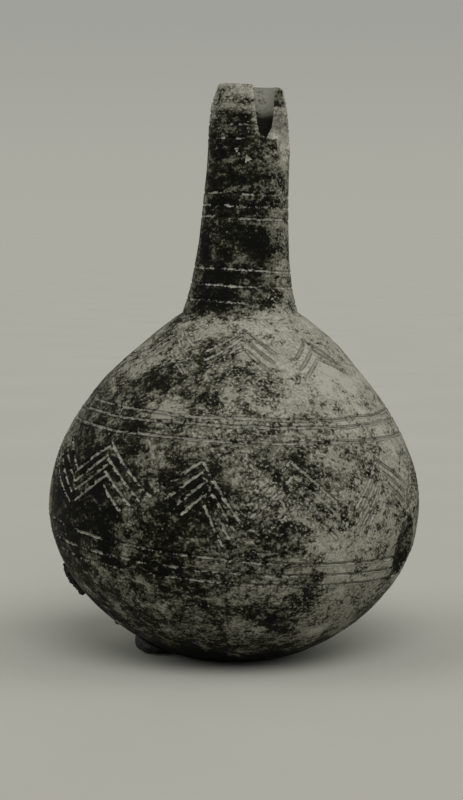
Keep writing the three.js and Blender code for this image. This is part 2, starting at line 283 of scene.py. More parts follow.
def drawStrokes():
    strokes = Strokes()
    around = np.linspace(-math.pi, math.pi, 181)
    for key in ("lower", "upper"):
        for band in lines[key + "Bands"]:
            levels = bandHeight(band, around)
            fill = lines[key + "Fill"]
            strokes.add(around, levels, lines["bodyWidth"], lines["bodyDepth"], fill, closed=True)
    rings = [(bottle["bodyHeight"] + rise, lines["lowFill"]) for rise in lines["lowNeck"]]
    rings += [(bottle["height"] - drop, lines["middleFill"]) for drop in lines["middleNeck"]]
    rings += [(bottle["height"] - drop, lines["topFill"]) for drop in lines["topNeck"]]
    for height, left in rings:
        levels = height - math.tan(math.radians(bottle["lean"])) * radiusAt(height) * np.sin(around)
        fill = np.full(len(around), left)
        for azimuth, level, reach in lines["lipDashes"]:
            if abs(level - height) < 1:
                offset = radiusAt(level) * (around - math.radians(azimuth))
                fill += lines["dashFill"] * np.exp(-(offset / reach) ** 4)
        strokes.add(around, levels, lines["neckWidth"], lines["neckDepth"], fill, closed=True)
    for legFrom, legTo, stepFrom, stepTo, count, fill in chevronLegs:
        for i in range(count):
            start = (legFrom[0] + i * stepFrom[0], legFrom[1] + i * stepFrom[1])
            end = (legTo[0] + i * stepTo[0], legTo[1] + i * stepTo[1])
            addLeg(strokes, start, end, fill)
    for row in farChevrons:
        for peak in row["peaks"]:
            for i in range(row["count"]):
                top = row["height"] - i * row["step"]
                share = 1 - 0.12 * i  # inner lines are shorter
                for side in (-1, 1):
                    spread = side * row["half"] * share * random.uniform(0.85, 1.05)
                    fall = row["drop"] * share * random.uniform(0.9, 1.08)
                    lift = random.uniform(-0.5, 0.5)
                    start = (peak + side * 0.4, top + lift)
                    addLeg(strokes, start, (peak + spread, top + lift - fall), lines["farFill"])
    return strokes


def addLeg(strokes, start, end, fill):
    azimuths = np.radians(np.linspace(start[0], end[0], 5))
    sag = 0.14 * np.sin(np.linspace(0, math.pi, 5)) * random.uniform(-1, 1)
    levels = np.linspace(start[1], end[1], 5) + sag
    strokes.add(azimuths, levels, lines["bodyWidth"], lines["bodyDepth"], fill)


strokes = drawStrokes()
print("strokes", len(strokes.points), "samples")


def sampleTree(indices):
    tree = kdtree.KDTree(len(indices))
    for index in indices:
        tree.insert(strokes.points[index], index)
    tree.balance()
    return tree


strokeTree = sampleTree(range(len(strokes.points)))
freeTree = sampleTree([index for index, free in enumerate(strokes.free) if free])


def nearestStroke(points):
    found = [strokeTree.find(p) for p in points]
    distance = np.array([f[2] for f in found])
    index = np.array([f[1] for f in found])
    return distance, index


# The vessel: a half-section extruded point by point, spun, then cut

def controlHeights(azimuth):
    tilt = math.tan(math.radians(bottle["lean"])) * np.sin(azimuth)
    rows = [0 * azimuth + bottle["bandsStart"]]
    rows += [bandHeight(band, azimuth) for band in lines["lowerBands"] + lines["upperBands"]]
    rows += [0 * azimuth + bottle["bodyHeight"]]
    neck = [bottle["bodyHeight"] + rise for rise in lines["lowNeck"]]
    neck += [bottle["height"] - drop for drop in reversed(lines["middleNeck"])]
    neck += [bottle["height"] - drop for drop in reversed(lines["topNeck"])]
    rows += [height - tilt * radiusAt(height) for height in neck]
    rows += [0 * azimuth + bottle["height"] - bottle["lipRound"]]
    return np.array(rows)


def ringPlaces():
    b = bottle
    middles = alongAt(controlHeights(np.zeros(1))[:, 0])
    bodyCount = len(lines["lowerBands"] + lines["upperBands"])
    places = [0, 0.4 * b["restRadius"], 0.75 * b["restRadius"], b["restRadius"]]
    for i, middle in enumerate(middles[1:-1]):
        onNeck = i > bodyCount
        offsets = b["neckLineStep"] * np.arange(-2, 3) if onNeck else b["bodyLineStep"] * np.arange(-3, 4)
        places += [middle] if i == bodyCount else list(middle + offsets)
    lipStart = alongAt(b["height"] - b["lipRound"])
    places += list(np.linspace(lipStart, pathAlong[-1], 6))
    filled = []
    for low, high in zip(places[:-1], places[1:]):
        step = b["neckStep"] if low > alongAt(b["bodyHeight"]) else b["bodyStep"]
        count = max(1, math.ceil((high - low) / step)) if low >= b["restRadius"] else 1
        filled += list(np.linspace(low, high, count, endpoint=False))
    return np.array(filled + [pathAlong[-1]]), middles


def extrudeAndSpin(name, radii, heights, columns):
    deselectAll()
    bpy.ops.mesh.primitive_plane_add(size=mm, location=(0, 0, 0))
    obj = named(name)
    bpy.ops.object.mode_set(mode="EDIT")
    bpy.context.tool_settings.mesh_select_mode = (True, False, False)
    bpy.ops.mesh.select_all(action="SELECT")
    bpy.ops.mesh.merge(type="CENTER")
    bpy.ops.transform.translate(value=(radii[0] * mm, 0, heights[0] * mm))
    for i in range(1, len(radii)):
        move = ((radii[i] - radii[i - 1]) * mm, 0, (heights[i] - heights[i - 1]) * mm)
        bpy.ops.mesh.extrude_region_move(TRANSFORM_OT_translate={"value": move})
    bpy.ops.mesh.select_all(action="SELECT")
    bpy.ops.mesh.spin(steps=columns, angle=tau, center=(0, 0, 0), axis=(0, 0, 1))
    outwards(obj)
    return obj


def azimuthOf(points):
    return np.arctan2(points[:, 0], -points[:, 1])


def followBands(obj, middles):
    # rings slide up or down each column, so that they run along the hand-drawn bands
    b = bottle
    points = readPoints(obj)
    azimuth = azimuthOf(points)
    column = np.round(azimuth * b["columns"] / tau).astype(int)
    sliding = (points[:, 2] > b["bandsStart"]) & (points[:, 2] < b["height"] - b["lipRound"] - 0.01)
    for here in np.unique(column):
        rows = np.where(sliding & (column == here))[0]
        actual = alongAt(controlHeights(azimuth[rows[:1]])[:, 0])
        place = np.interp(alongAt(points[rows, 2]), middles, actual)
        radius = np.interp(place, pathAlong, pathRadius)
        points[rows, 0] = radius * np.sin(azimuth[rows])
        points[rows, 1] = -radius * np.cos(azimuth[rows])
        points[rows, 2] = np.interp(place, pathAlong, pathHeight)
    writePoints(obj, points)


def refineNear(obj, tree, reach):
    centres = np.zeros(len(obj.data.polygons) * 3)
    obj.data.polygons.foreach_get("center", centres)
    near = [tree.find(p)[2] < reach for p in centres.reshape(-1, 3) / mm]
    makeActive(obj)
    bpy.ops.object.mode_set(mode="EDIT")
    bpy.context.tool_settings.mesh_select_mode = (False, False, True)
    bpy.ops.mesh.select_all(action="DESELECT")
    bpy.ops.object.mode_set(mode="OBJECT")
    obj.data.polygons.foreach_set("select", near)
    bpy.ops.object.mode_set(mode="EDIT")
    bpy.ops.mesh.subdivide(number_cuts=1, ngon=False, quadcorner="STRAIGHT_CUT")
    bpy.ops.object.mode_set(mode="OBJECT")


# Where crust lies, with painted light and shade carried in the same field: a slow slope over the body, and
# patches named by their place

crustAndShading = {
    # the loss of crust low down is painted shade under the belly, where the dark slip shows
    # the slope towards the right is partly real crust and partly painted light from the right
    "middle": 0.40, "toRight": 0.18, "upwards": 0.16, "under": 0.4,  # on the body
    # the neck's rise towards its right and left edges is painted sheen
    "neck": 0.15, "neckRightSheen": 0.38, "neckLeftSheen": 0.24, "lip": 0.58, "lipFrom": 155, "lipTo": 169,
    "ring": 0.1, "ringHeight": 101.5, "ringReach": 2.6,  # round the neck's foot
    "uneven": 0.16, "unevenApart": 9,
    "edge": (0.46, 0.56),  # where it stands proud of the clay
}
crustPatches = [
    # azimuth, height, reach in mm, how much more or less crust
    (45, 88, 18, 0.26), (20, 100, 9, 0.02), (-8, 101, 8, 0.04), (-46, 101, 7, -0.04), (-20, 102, 5, 0.20),
    (-38, 86, 7, -0.24), (-9, 88, 7, -0.12), (-64, 91, 12, 0.16), (-34, 94, 6, 0.20), (-47, 93, 7, 0.16),
    (-72, 97, 8, 0.10), (-54, 78, 8, -0.10), (-26, 80, 6, 0.34), (-72, 84, 8, 0.10), (-45, 71, 8, -0.18),
    (-88, 70, 10, 0.08), (-62, 66, 9, -0.10), (-62, 58, 15, -0.20), (-88, 58, 13, 0.5), (-84, 72, 8, 0.2),
    (-72, 50, 12, -0.16), (-36, 64, 9, -0.08), (-43, 53, 8, -0.12), (-31, 53, 7, 0.34), (-24, 67, 6, 0.12),
    (-8, 74, 6, 0.22), (4, 75, 7, 0.08), (-4, 67, 7, 0.10), (-9, 59, 8, -0.26), (5, 60, 6, 0.18),
    (5, 53, 7, 0.10), (-12, 50, 8, -0.18), (-20, 43, 9, -0.18), (17, 66, 6, -0.12), (24, 62, 8, -0.14),
    (28, 65, 5, 0.22), (24, 53, 8, 0.08), (38, 68, 13, 0.05), (38, 53, 6, 0.08), (42, 60, 7, -0.12),
    (32, 42, 13, 0.18), (18, 44, 7, -0.18), (2, 48, 10, 0.10), (50, 54, 11, 0.08), (64, 62, 10, 0.10),
    (60, 66, 7, 0.08), (62, 72, 6, 0.08), (70, 76, 12, 0.12), (60, 30, 9, 0.04), (44, 24, 12, 0.20),
    (38, 14, 9, 0.18), (27, 16, 7, 0.16), (15, 19, 6, -0.20), (2, 14, 8, 0.16), (8, 30, 9, 0.05),
    (-7, 29, 7, -0.08), (-5, 22, 12, 0.10), (-24, 34, 9, -0.10), (-28, 20, 10, 0.16), (-38, 22, 12, 0.10),
    (10, 108, 6, 0.10), (42, 109, 6, 0.20), (60, 150.5, 4, 0.35), (78, 158, 4, 0.25), (-23, 79, 8, -0.12),
    (-8, 71, 7, -0.14), (-32, 56, 7, -0.22), (0, 57, 6, -0.16), (31, 57, 6, -0.14), (-48, 74, 6, 0.20),
    (-42, 81, 5, 0.14), (16, 67, 4, -0.12), (15, 53, 5, 0.14), (-19, 47, 7, 0.12), (3, 40, 7, -0.12),
    (11, 25, 6, 0.12), (28, 16, 5, -0.20), (-20, 97, 3.5, -0.12), (-46, 101, 4, 0.18),
    (-25, 166.5, 4.5, -0.16), (0, 166, 4, -0.12), (8, 155, 5, 0.12), (-28, 144, 7, 0.06),
    (-10, 122, 5, -0.10), (43, 124, 5, -0.12), (36, 141, 5, 0.12), (-26, 172, 4.5, 0.22),
    (-5, 172.5, 3.5, 0.22), (-21, 102, 4, -0.14), (-1, 102, 4, 0.14), (52, 37, 7, 0.12), (17, 24, 6, 0.12),
    (-26, 67, 5, -0.12), (-35, 53, 6, -0.14), (-58, 65, 7, 0.12), (-72, 55, 7, 0.14), (-7, 25, 4, 0.10),
    (51, 21, 6, 0.10), (-88, 46, 11, 0.36), (-82, 30, 9, 0.26), (-66, 44, 6, 0.14), (-58, 28, 7, 0.14),
    (-76, 19, 7, 0.16), (7.5, 170, 1.2, 0.4), (8, 166, 1.2, 0.4), (9, 163, 1.2, 0.4), (13, 159.5, 1.5, 0.5),
]
crustFlecks = {"count": 110, "low": 9, "high": 44, "reach": (1.8, 3.4), "amounts": (-0.2, 0.3)}

for fleck in range(crustFlecks["count"]):
    # small flecks all round the lower body
    azimuth = random.uniform(-180, 180)
    height = random.uniform(crustFlecks["low"], crustFlecks["high"])
    reach = random.uniform(*crustFlecks["reach"])
    crustPatches.append((azimuth, height, reach, random.choice(crustFlecks["amounts"])))


def crustAndShadingField(points, azimuth):
    c = crustAndShading
    level = points[:, 2]
    body = smoothStep(level, bottle["bodyHeight"] + 3, bottle["bodyHeight"] - 2)
    # lighter towards the right: partly real crust, partly painted light
    side = np.sin(azimuth) * smoothStep(-np.cos(azimuth), 0.6, -0.2)
    height = (level - bottle["widestHeight"]) / bottle["bodyRadius"]
    slope = c["middle"] + c["toRight"] * side + c["upwards"] * height
    foot = smoothStep(level, bottle["bodyHeight"] + 2.5, bottle["bodyHeight"] - 1)
    neck = c["neck"] + (c["lip"] - c["neck"]) * smoothStep(level, c["lipFrom"], c["lipTo"])
    # painted sheen: the neck lighter towards its right and left edges
    right = smoothStep(np.sin(azimuth), 0.2, 0.95)
    left = smoothStep(-np.sin(azimuth), 0.8, 1)
    neck += c["neckRightSheen"] * right + c["neckLeftSheen"] * left
    ring = c["ring"] * np.exp(-((level - c["ringHeight"]) / c["ringReach"]) ** 2) * foot
    field = neck + (slope - neck) * body + ring
    for patchAzimuth, patchHeight, reach, amount in crustPatches:
        centre = onSurface(math.radians(patchAzimuth), patchHeight)
        distance = np.linalg.norm(points - centre, axis=1)
        field += amount * np.exp(-(distance / reach) ** 2)
    # painted shade under the belly: less crust low down, so the dark slip shows
    field -= c["under"] * smoothStep(level, 9, 2)
    return field + c["uneven"] * roughness(points, c["unevenApart"], 3, 3)


def carve(obj):
    b = bottle
    points = readPoints(obj)
    azimuth = azimuthOf(points)
    height = points[:, 2].copy()
    distance, index = nearestStroke(points)
    half = np.array(strokes.half)[index]
    depth = np.array(strokes.depth)[index]
    cut = depth * smoothStep(distance / half, 1, 0.05)
    burr = lines["burr"] * np.exp(-((distance / half - 1.35) / 0.4) ** 2) * depth / lines["bodyDepth"]
    crust = smoothStep(crustAndShadingField(points, azimuth), *crustAndShading["edge"])
    rise = b["waves"] * roughness(points, b["wavesApart"], 2, 1)
    rise += b["dents"] * roughness(points, b["dentsApart"], 3, 2)
    rise += b["grain"] * roughness(points, b["grainApart"], 2, 5) * (1 + crust) + b["crustRise"] * crust
    rise = (rise + burr - cut) * smoothStep(height, 0.4, 3)
    outward, upward = normalAt(height)
    onTop = height > b["height"] - 0.2
    outward = np.where(onTop, 0, outward)
    near = smoothStep(height, b["height"] - 0.4 * b["lipLength"], b["height"])
    worn = b["lipWear"] * np.maximum(0, np.cos(azimuth - math.radians(b["lipWearAzimuth"]))) * near
    drop = 0.5 * b["lipTilt"] * (1 + np.sin(azimuth)) * near
    across = outward * rise - worn * np.minimum(1, np.hypot(points[:, 0], points[:, 1]) / b["lipRadius"])
    points[:, 0] += across * np.sin(azimuth)
    points[:, 1] -= across * np.cos(azimuth)
    points[:, 2] = np.maximum(0, height + upward * rise - drop)
    points[:, 0] += bulge(height) + axisOffset(height)
    writePoints(obj, points)


def bulge(height):
    b = bottle
    return b["lowBulge"] * smoothStep(height, b["bulgeFrom"], b["bulgeTo"]) * smoothStep(height, 0, 6)


def leanPoints(obj):
    points = readPoints(obj)
    points[:, 0] += axisOffset(points[:, 2])
    writePoints(obj, points)


def sideMaterial(name):
    return bpy.data.materials.get(name) or bpy.data.materials.new(name)


def makeCavity():
    b = bottle
    top = b["height"] + losses["margin"]
    heights = 0.5 * (b["bodyHeight"] - 2.4) * (1 - np.cos(np.linspace(0.12, math.pi, 34)))
    outward, upward = normalAt(heights)
    radii = radiusAt(heights) - b["bodyWall"] * outward
    levels = heights - b["bodyWall"] * upward
    neckHeights = np.linspace(b["bodyHeight"] + 2, top, 26)
    neckOutside = radiusAt(np.minimum(neckHeights, b["height"] - b["lipRound"]))
    neckRadii = np.maximum(neckOutside - b["neckWall"], b["mouthRadius"])
    keep = (radii > b["neckFootRadius"] - b["neckWall"]) & (np.diff(levels, prepend=0) > 0)
    radii = np.concatenate([[0], radii[keep], neckRadii, [0]])
    levels = np.concatenate([[b["bodyWall"]], levels[keep], neckHeights, [top]])
    obj = extrudeAndSpin("cavity", radii, levels, 72)
    points = readPoints(obj)
    azimuth = azimuthOf(points)
    rough = b["insideRough"] * roughness(points, 9, 3, 8)
    points[:, 0] += rough * np.sin(azimuth)
    points[:, 1] -= rough * np.cos(azimuth)
    writePoints(obj, points)
    leanPoints(obj)
    obj.data.materials.append(sideMaterial("hollowSide"))
    return obj


# Losses: broken lip, flaked neck, spall low on the right, three small chips in the neck

losses = {
    "breakDepth": 17, "breakLeft": 6, "breakRight": 78, "breakBottom": 25, "breakSlope": 0.45,
    "breakRough": 0.5, "breakWaves": 0.8,
    "flake": (64, 17.6, 10, 12, 1.5),  # azimuth, drop below the lip, wide, tall, deep
    "spall": (66, 36.5, 13, 21, 2.0),  # azimuth, height, wide, tall, deep
    # azimuth, height, size, turn
    "chips": [(-1, 151.3, 1.3, 20), (-17, 153.9, 0.75, 70), (-14, 152.6, 0.5, 10)],
    "margin": 4,  # how far a cutting solid stands past what it cuts
}


def breakFloor(azimuth):
    k = losses
    top = bottle["height"]
    bottom = top - k["breakDepth"]
    left, right, low = k["breakLeft"], k["breakRight"], k["breakBottom"]
    knots = [left, left + 1, left + 4, left + 8, low - 7, low, low + 12]
    knots += [right - 28, right - 18, right - 10, right - 4, right]
    shares = [-0.24, 0.2, 0.52, 0.86, 0.95, 1, 1, 0.95, 0.86, 0.7, 0.3, -0.24]
    return np.interp(azimuth, knots, [top - share * (top - bottom) for share in shares])


def makeBreak():
    k = losses
    deselectAll()
    bpy.ops.mesh.primitive_grid_add(x_subdivisions=90, y_subdivisions=34, size=1)
    obj = named("lipBreak")
    bpy.ops.object.mode_set(mode="EDIT")
    bpy.ops.mesh.select_all(action="SELECT")
    bpy.ops.mesh.extrude_region_move(TRANSFORM_OT_translate={"value": (0, 0, 1)})
    bpy.ops.object.mode_set(mode="OBJECT")
    points = readPoints(obj) * mm  # shares of the grid's width, depth and height
    azimuth = k["breakLeft"] + (points[:, 0] + 0.5) * (k["breakRight"] - k["breakLeft"])
    inside = 0.35 * bottle["mouthRadius"]
    outside = bottle["neckRadius"] + k["margin"]
    radius = inside + (points[:, 1] + 0.5) * (outside - inside)
    floor = breakFloor(azimuth)
    rightward = smoothStep(azimuth, 34, 50)
    floor = floor + k["breakSlope"] * rightward * np.clip(bottle["lipRadius"] - radius, 0, 4)
    turn = np.radians(azimuth)
    spot = np.stack([radius * np.sin(turn), -radius * np.cos(turn), floor], 1)
    rough = roughness(spot, 2.6, 4, 12)
    waves = roughness(spot, 5, 2, 13)
    floor = floor + k["breakRough"] * rough + k["breakWaves"] * waves
    level = np.where(points[:, 2] > 0.5, bottle["height"] + k["margin"] + 3, floor)
    spot[:, 2] = level
    spot[:, 0] += axisOffset(np.minimum(level, bottle["height"]))
    writePoints(obj, spot)
    outwards(obj)
    obj.data.materials.append(sideMaterial("brokenSide"))
    return obj


def makeDish(name, side, azimuth, height, wide, tall, deep, seed):
    outward, upward = normalAt(height)
    deselectAll()
    bpy.ops.mesh.primitive_uv_sphere_add(segments=64, ring_count=44, radius=1)
    obj = named(name)
    obj.scale = (0.5 * wide * mm, deep * mm, 0.5 * tall * mm)
    placeInMesh(obj)
    obj.rotation_euler = (-math.atan2(float(upward), float(outward)), 0, 0)
    placeInMesh(obj)
    obj.rotation_euler = (0, 0, math.radians(azimuth))
    centre = onSurface(math.radians(azimuth), height)
    centre[0] += axisOffset(height)
    obj.location = Vector(centre) * mm
    placeInMesh(obj)
    points = readPoints(obj)
    middle = points.mean(0)
    ray = (points - middle) / np.linalg.norm(points - middle, axis=1)[:, None]
    points += ray * (0.5 * roughness(points, 3.2, 4, seed))[:, None]
    writePoints(obj, points)
    obj.data.materials.append(sideMaterial(side))
    return obj


def makeChip(azimuth, height, size, turn):
    deselectAll()
    bpy.ops.mesh.primitive_cone_add(vertices=3, radius1=0, radius2=2 * size * mm, depth=1.4 * mm)
    obj = named("neckChip")
    obj.rotation_euler = (0, 0, math.radians(turn))
    placeInMesh(obj)
    obj.rotation_euler = (math.radians(90), 0, 0)
    placeInMesh(obj)
    obj.rotation_euler = (0, 0, math.radians(azimuth))
    spot = onSurface(math.radians(azimuth), height)
    spot[0] += axisOffset(height)
    obj.location = Vector(spot) * mm
    placeInMesh(obj)
    outwards(obj)
    obj.data.materials.append(sideMaterial("chipSide"))
    return obj


def makeVessel():
    places, middles = ringPlaces()
    radii = np.append(np.interp(places, pathAlong, pathRadius), 0)
    heights = np.append(np.interp(places, pathAlong, pathHeight), bottle["height"])
    obj = extrudeAndSpin("vessel_clay", radii, heights, bottle["columns"])
    print("vessel spun", len(obj.data.polygons), "faces")
    followBands(obj, middles)
    for reach in bottle["finerWithin"]:
        refineNear(obj, freeTree, reach)
    print("vessel refined", len(obj.data.polygons), "faces")
    carve(obj)
    obj.data.materials.append(sideMaterial("outside"))
    cutAway(obj, makeCavity())
    cutAway(obj, makeBreak())
    azimuth, drop, *size = losses["flake"]
    cutAway(obj, makeDish("neckFlake", "brokenSide", azimuth, bottle["height"] - drop, *size, 21))
    cutAway(obj, makeDish("bellySpall", "spallSide", *losses["spall"], 22))
    for chip in losses["chips"]:
        cutAway(obj, makeChip(*chip))
    print("vessel cut", len(obj.data.polygons), "faces", [m.name for m in obj.data.materials])
    return obj


# Materials: shared effects are node groups, and each finish places them with its own values

def node(tree, kind, settings=None, **inputs):
    made = tree.nodes.new(kind)
    for key, value in (settings or {}).items():
        setattr(made, key, value)
    for key, value in inputs.items():
        socket = made.inputs[int(key[1:])] if key[0] == "n" and key[1:].isdigit() else made.inputs[key]
        if isinstance(value, bpy.types.NodeSocket):
            tree.links.new(value, socket)
        else:
            socket.default_value = value
    return made


def maths(tree, operation, a, b=0.0, c=0.0):
    return node(tree, "ShaderNodeMath", {"operation": operation}, n0=a, n1=b, n2=c).outputs[0]


def fade(tree, value, low, high):
    smooth = {"interpolation_type": "SMOOTHSTEP"}
    return node(tree, "ShaderNodeMapRange", smooth, n0=value, n1=low, n2=high).outputs[0]


def blendColour(tree, amount, under, over):
    made = tree.nodes.new("ShaderNodeMix")
    made.data_type = "RGBA"
    for place, value in ((0, amount), (6, under), (7, over)):
        if isinstance(value, bpy.types.NodeSocket):
            tree.links.new(value, made.inputs[place])
        else:
            made.inputs[place].default_value = value if place == 0 else (*value, 1)
    return made.outputs[2]


def newGroup(name, inputs, outputs):
    tree = bpy.data.node_groups.new(name, "ShaderNodeTree")
    for key, kind, value in inputs:
        socket = tree.interface.new_socket(name=key, in_out="INPUT", socket_type=kind)
        if value is not None:
            socket.default_value = value
    for key in outputs:
        tree.interface.new_socket(name=key, in_out="OUTPUT", socket_type="NodeSocketFloat")
    return tree, tree.nodes.new("NodeGroupInput"), tree.nodes.new("NodeGroupOutput")


def grainGroup():
    # soil grain at three sizes, in metres on the object: specks, and flecks and patches drawn out sideways
    tree, given, put = newGroup("soil grain", [
        ("Vector", "NodeSocketVector", None), ("Speck size", "NodeSocketFloat", 1300.0),
        ("Fleck size", "NodeSocketFloat", 430.0), ("Patch size", "NodeSocketFloat", 120.0),
        ("Sideways", "NodeSocketFloat", 1.5),
    ], ["Speck", "Fleck", "Patch"])
    where = given.outputs["Vector"]
    wide = node(tree, "ShaderNodeCombineXYZ", X=1.0, Y=1.0, Z=given.outputs["Sideways"]).outputs[0]
    drawn = node(tree, "ShaderNodeVectorMath", {"operation": "MULTIPLY"}, n0=where, n1=wide).outputs[0]
    speck = node(tree, "ShaderNodeTexNoise", Vector=where, Scale=given.outputs["Speck size"],
                 Detail=2.5, Roughness=0.6)
    fleck = node(tree, "ShaderNodeTexNoise", Vector=drawn, Scale=given.outputs["Fleck size"],
                 Detail=4.0, Roughness=0.66, Distortion=0.5)
    patch = node(tree, "ShaderNodeTexNoise", Vector=drawn, Scale=given.outputs["Patch size"],
                 Detail=7.0, Roughness=0.7, Distortion=0.6)
    for name, made in (("Speck", speck), ("Fleck", fleck), ("Patch", patch)):
        tree.links.new(made.outputs["Fac"], put.inputs[name])
    return tree


def raggedGroup():
    # a soft field cut off along a ragged edge: field + noise against a threshold
    tree, given, put = newGroup("ragged edge", [
        ("Field", "NodeSocketFloat", 0.5), ("Noise", "NodeSocketFloat", 0.5),
        ("Raggedness", "NodeSocketFloat", 1.0), ("Edge", "NodeSocketFloat", 0.5),
        ("Softness", "NodeSocketFloat", 0.06),
    ], ["Mask"])
    centred = maths(tree, "SUBTRACT", given.outputs["Noise"], 0.5)
    total = maths(tree, "MULTIPLY_ADD", centred, given.outputs["Raggedness"], given.outputs["Field"])
    high = maths(tree, "ADD", given.outputs["Edge"], given.outputs["Softness"])
    tree.links.new(fade(tree, total, given.outputs["Edge"], high), put.inputs["Mask"])
    return tree


grain = grainGroup()
ragged = raggedGroup()


def useGroup(tree, group, **inputs):
    made = tree.nodes.new("ShaderNodeGroup")
    made.node_tree = group
    for key, value in inputs.items():
        socket = made.inputs[key.replace("_", " ")]
        if isinstance(value, bpy.types.NodeSocket):
            tree.links.new(value, socket)
        else:
            socket.default_value = value
    return made.outputs


def raggedMask(tree, field, noiseValue, raggedness, edge, softness=0.06):
    made = useGroup(tree, ragged, Field=field, Noise=noiseValue, Raggedness=raggedness, Edge=edge,
                    Softness=softness)
    return made["Mask"]


def startMaterial(name):
    material = bpy.data.materials.new(name)
    material.use_nodes = True
    tree = material.node_tree
    shader = tree.nodes["Principled BSDF"]
    where = node(tree, "ShaderNodeTexCoord").outputs["Object"]
    return material, tree, shader, where


def attribute(tree, name):
    return node(tree, "ShaderNodeAttribute", {"attribute_name": name}).outputs["Fac"]


ware = {
    # the slip colour also serves as painted shadow beside the lines
    # the worn slip colour also paints the dark thread in lines on crust, partly soil and partly painted shade
    "slipAndShade": (0.0026, 0.0026, 0.0012), "wornSlipAndGrooveShade": (0.0185, 0.018, 0.011), "film": (0.096, 0.0935, 0.0705),
    "crust": (0.208, 0.203, 0.163), "crustLight": (0.325, 0.318, 0.27), "lime": (0.3, 0.294, 0.248),
    # the hollow colour is painted shade deep inside the neck
    "clay": (0.4, 0.39, 0.333), "clayDark": (0.10, 0.096, 0.075), "hollow": (0.022, 0.021, 0.016),
    # how each layer lies on the crust field: raggedness, edge, softness, colour
    "layers": {"rubbed": (4.4, 0.04, 0.34, "wornSlipAndGrooveShade"), "film": (4.8, 0.33, 0.17, "film"),
               "shell": (4.0, 0.53, 0.15, "crust"), "pale": (2.6, 0.78, 0.26, "crustLight")},
}


def makeWare():
    material, tree, shader, where = startMaterial("incised ware")
    bumps = useGroup(tree, grain, Vector=where)
    crust = attribute(tree, "crust")
    groove = attribute(tree, "groove")
    fill = attribute(tree, "fill")
    broken = attribute(tree, "broken")
    hollow = attribute(tree, "hollow")
    fine = maths(tree, "MULTIPLY_ADD", bumps["Fleck"], 0.6, maths(tree, "MULTIPLY", bumps["Speck"], 0.4))
    mixed = maths(tree, "MULTIPLY_ADD", fine, 0.55, maths(tree, "MULTIPLY", bumps["Patch"], 0.45))

    # dark slip, rubbed grey, then a thin film of soil, crust, and its palest parts: each ragged over the last
    colour = ware["slipAndShade"]
    masks = {}
    for name, (raggedness, edge, softness, over) in ware["layers"].items():
        masks[name] = raggedMask(tree, crust, mixed, raggedness, edge, softness)
        colour = blendColour(tree, masks[name], colour, ware[over])
    shell = masks["shell"]

    # bright specks of lime, and dark pinholes down to the slip
    specks = raggedMask(tree, maths(tree, "MULTIPLY", crust, 0.3), bumps["Speck"], 1.0, 0.24, 0.06)
    colour = blendColour(tree, maths(tree, "MULTIPLY", specks, 0.65), colour, ware["crustLight"])
    onCrust = fade(tree, crust, 0.62, 0.76)
    depth = maths(tree, "MULTIPLY_ADD", onCrust, -0.55, 0.8)
    pin = maths(tree, "MULTIPLY", fade(tree, bumps["Fleck"], 0.41, 0.33), depth)
    colour = blendColour(tree, pin, colour, ware["slipAndShade"])

    # the lines: pale fill, grainy and lost here and there, with painted shadow along their edges; on crust a
    # dark thread instead, partly soil and partly painted shade
    inLine = raggedMask(tree, maths(tree, "MULTIPLY_ADD", groove, -0.8, 1.0), fine, 2.8, 0.38, 0.24)
    filled = raggedMask(tree, fill, mixed, 3.4, 0.36, 0.2)
    # painted shadow: a dark band along each line's edge, patchy
    grooveShadow = maths(tree, "SUBTRACT", fade(tree, groove, 0.5, 0.85), fade(tree, groove, 1.1, 1.5))
    grooveShadow = maths(tree, "MULTIPLY", grooveShadow, fade(tree, bumps["Patch"], 0.35, 0.6))
    colour = blendColour(tree, maths(tree, "MULTIPLY", grooveShadow, 0.6), colour, ware["slipAndShade"])
    lime = maths(tree, "MULTIPLY", filled, maths(tree, "SUBTRACT", 1.0, onCrust))
    lime = maths(tree, "MULTIPLY", inLine, lime)
    strength = maths(tree, "MULTIPLY_ADD", fade(tree, bumps["Fleck"], 0.36, 0.64), 0.5, 0.44)
    strength = maths(tree, "MAXIMUM", strength, fade(tree, fill, 1.3, 1.7))
    colour = blendColour(tree, maths(tree, "MULTIPLY", lime, strength), colour, ware["lime"])
    # on crust the lines get a dark thread, partly dark soil and partly painted shade
    grooveSoilAndShade = raggedMask(tree, maths(tree, "MULTIPLY_ADD", groove, -1.3, 1.0), fine, 1.4, 0.42, 0.2)
    dark = maths(tree, "MULTIPLY", grooveSoilAndShade, onCrust)
    colour = blendColour(tree, maths(tree, "MULTIPLY", dark, 0.7), colour, ware["wornSlipAndGrooveShade"])

    # broken clay, its edge frayed, and painted shade deep inside the hollow
    clay = blendColour(tree, fade(tree, mixed, 0.36, 0.6), ware["clayDark"], ware["clay"])
    bare = raggedMask(tree, broken, fine, 1.1, 0.34, 0.3)
    colour = blendColour(tree, bare, colour, clay)
    colour = blendColour(tree, hollow, colour, ware["hollow"])
    tree.links.new(colour, shader.inputs["Base Color"])

    dusty = maths(tree, "MAXIMUM", shell, lime)
    roughBase = fade(tree, fine, 0.35, 0.65)
    roughValue = maths(tree, "MULTIPLY_ADD", roughBase, 0.2, 0.56)
    tree.links.new(maths(tree, "MULTIPLY_ADD", dusty, 0.22, roughValue), shader.inputs["Roughness"])
    shader.inputs["Specular IOR Level"].default_value = 0.05
    relief = maths(tree, "MULTIPLY_ADD", shell, 0.5, maths(tree, "MULTIPLY", bumps["Fleck"], 1.0))
    relief = maths(tree, "MULTIPLY_ADD", bumps["Speck"], 0.5, relief)
    bump = node(tree, "ShaderNodeBump", Height=relief, Strength=0.8, Distance=0.0003)
    tree.links.new(bump.outputs[0], shader.inputs["Normal"])
    return material


# The pat of putty under the belly

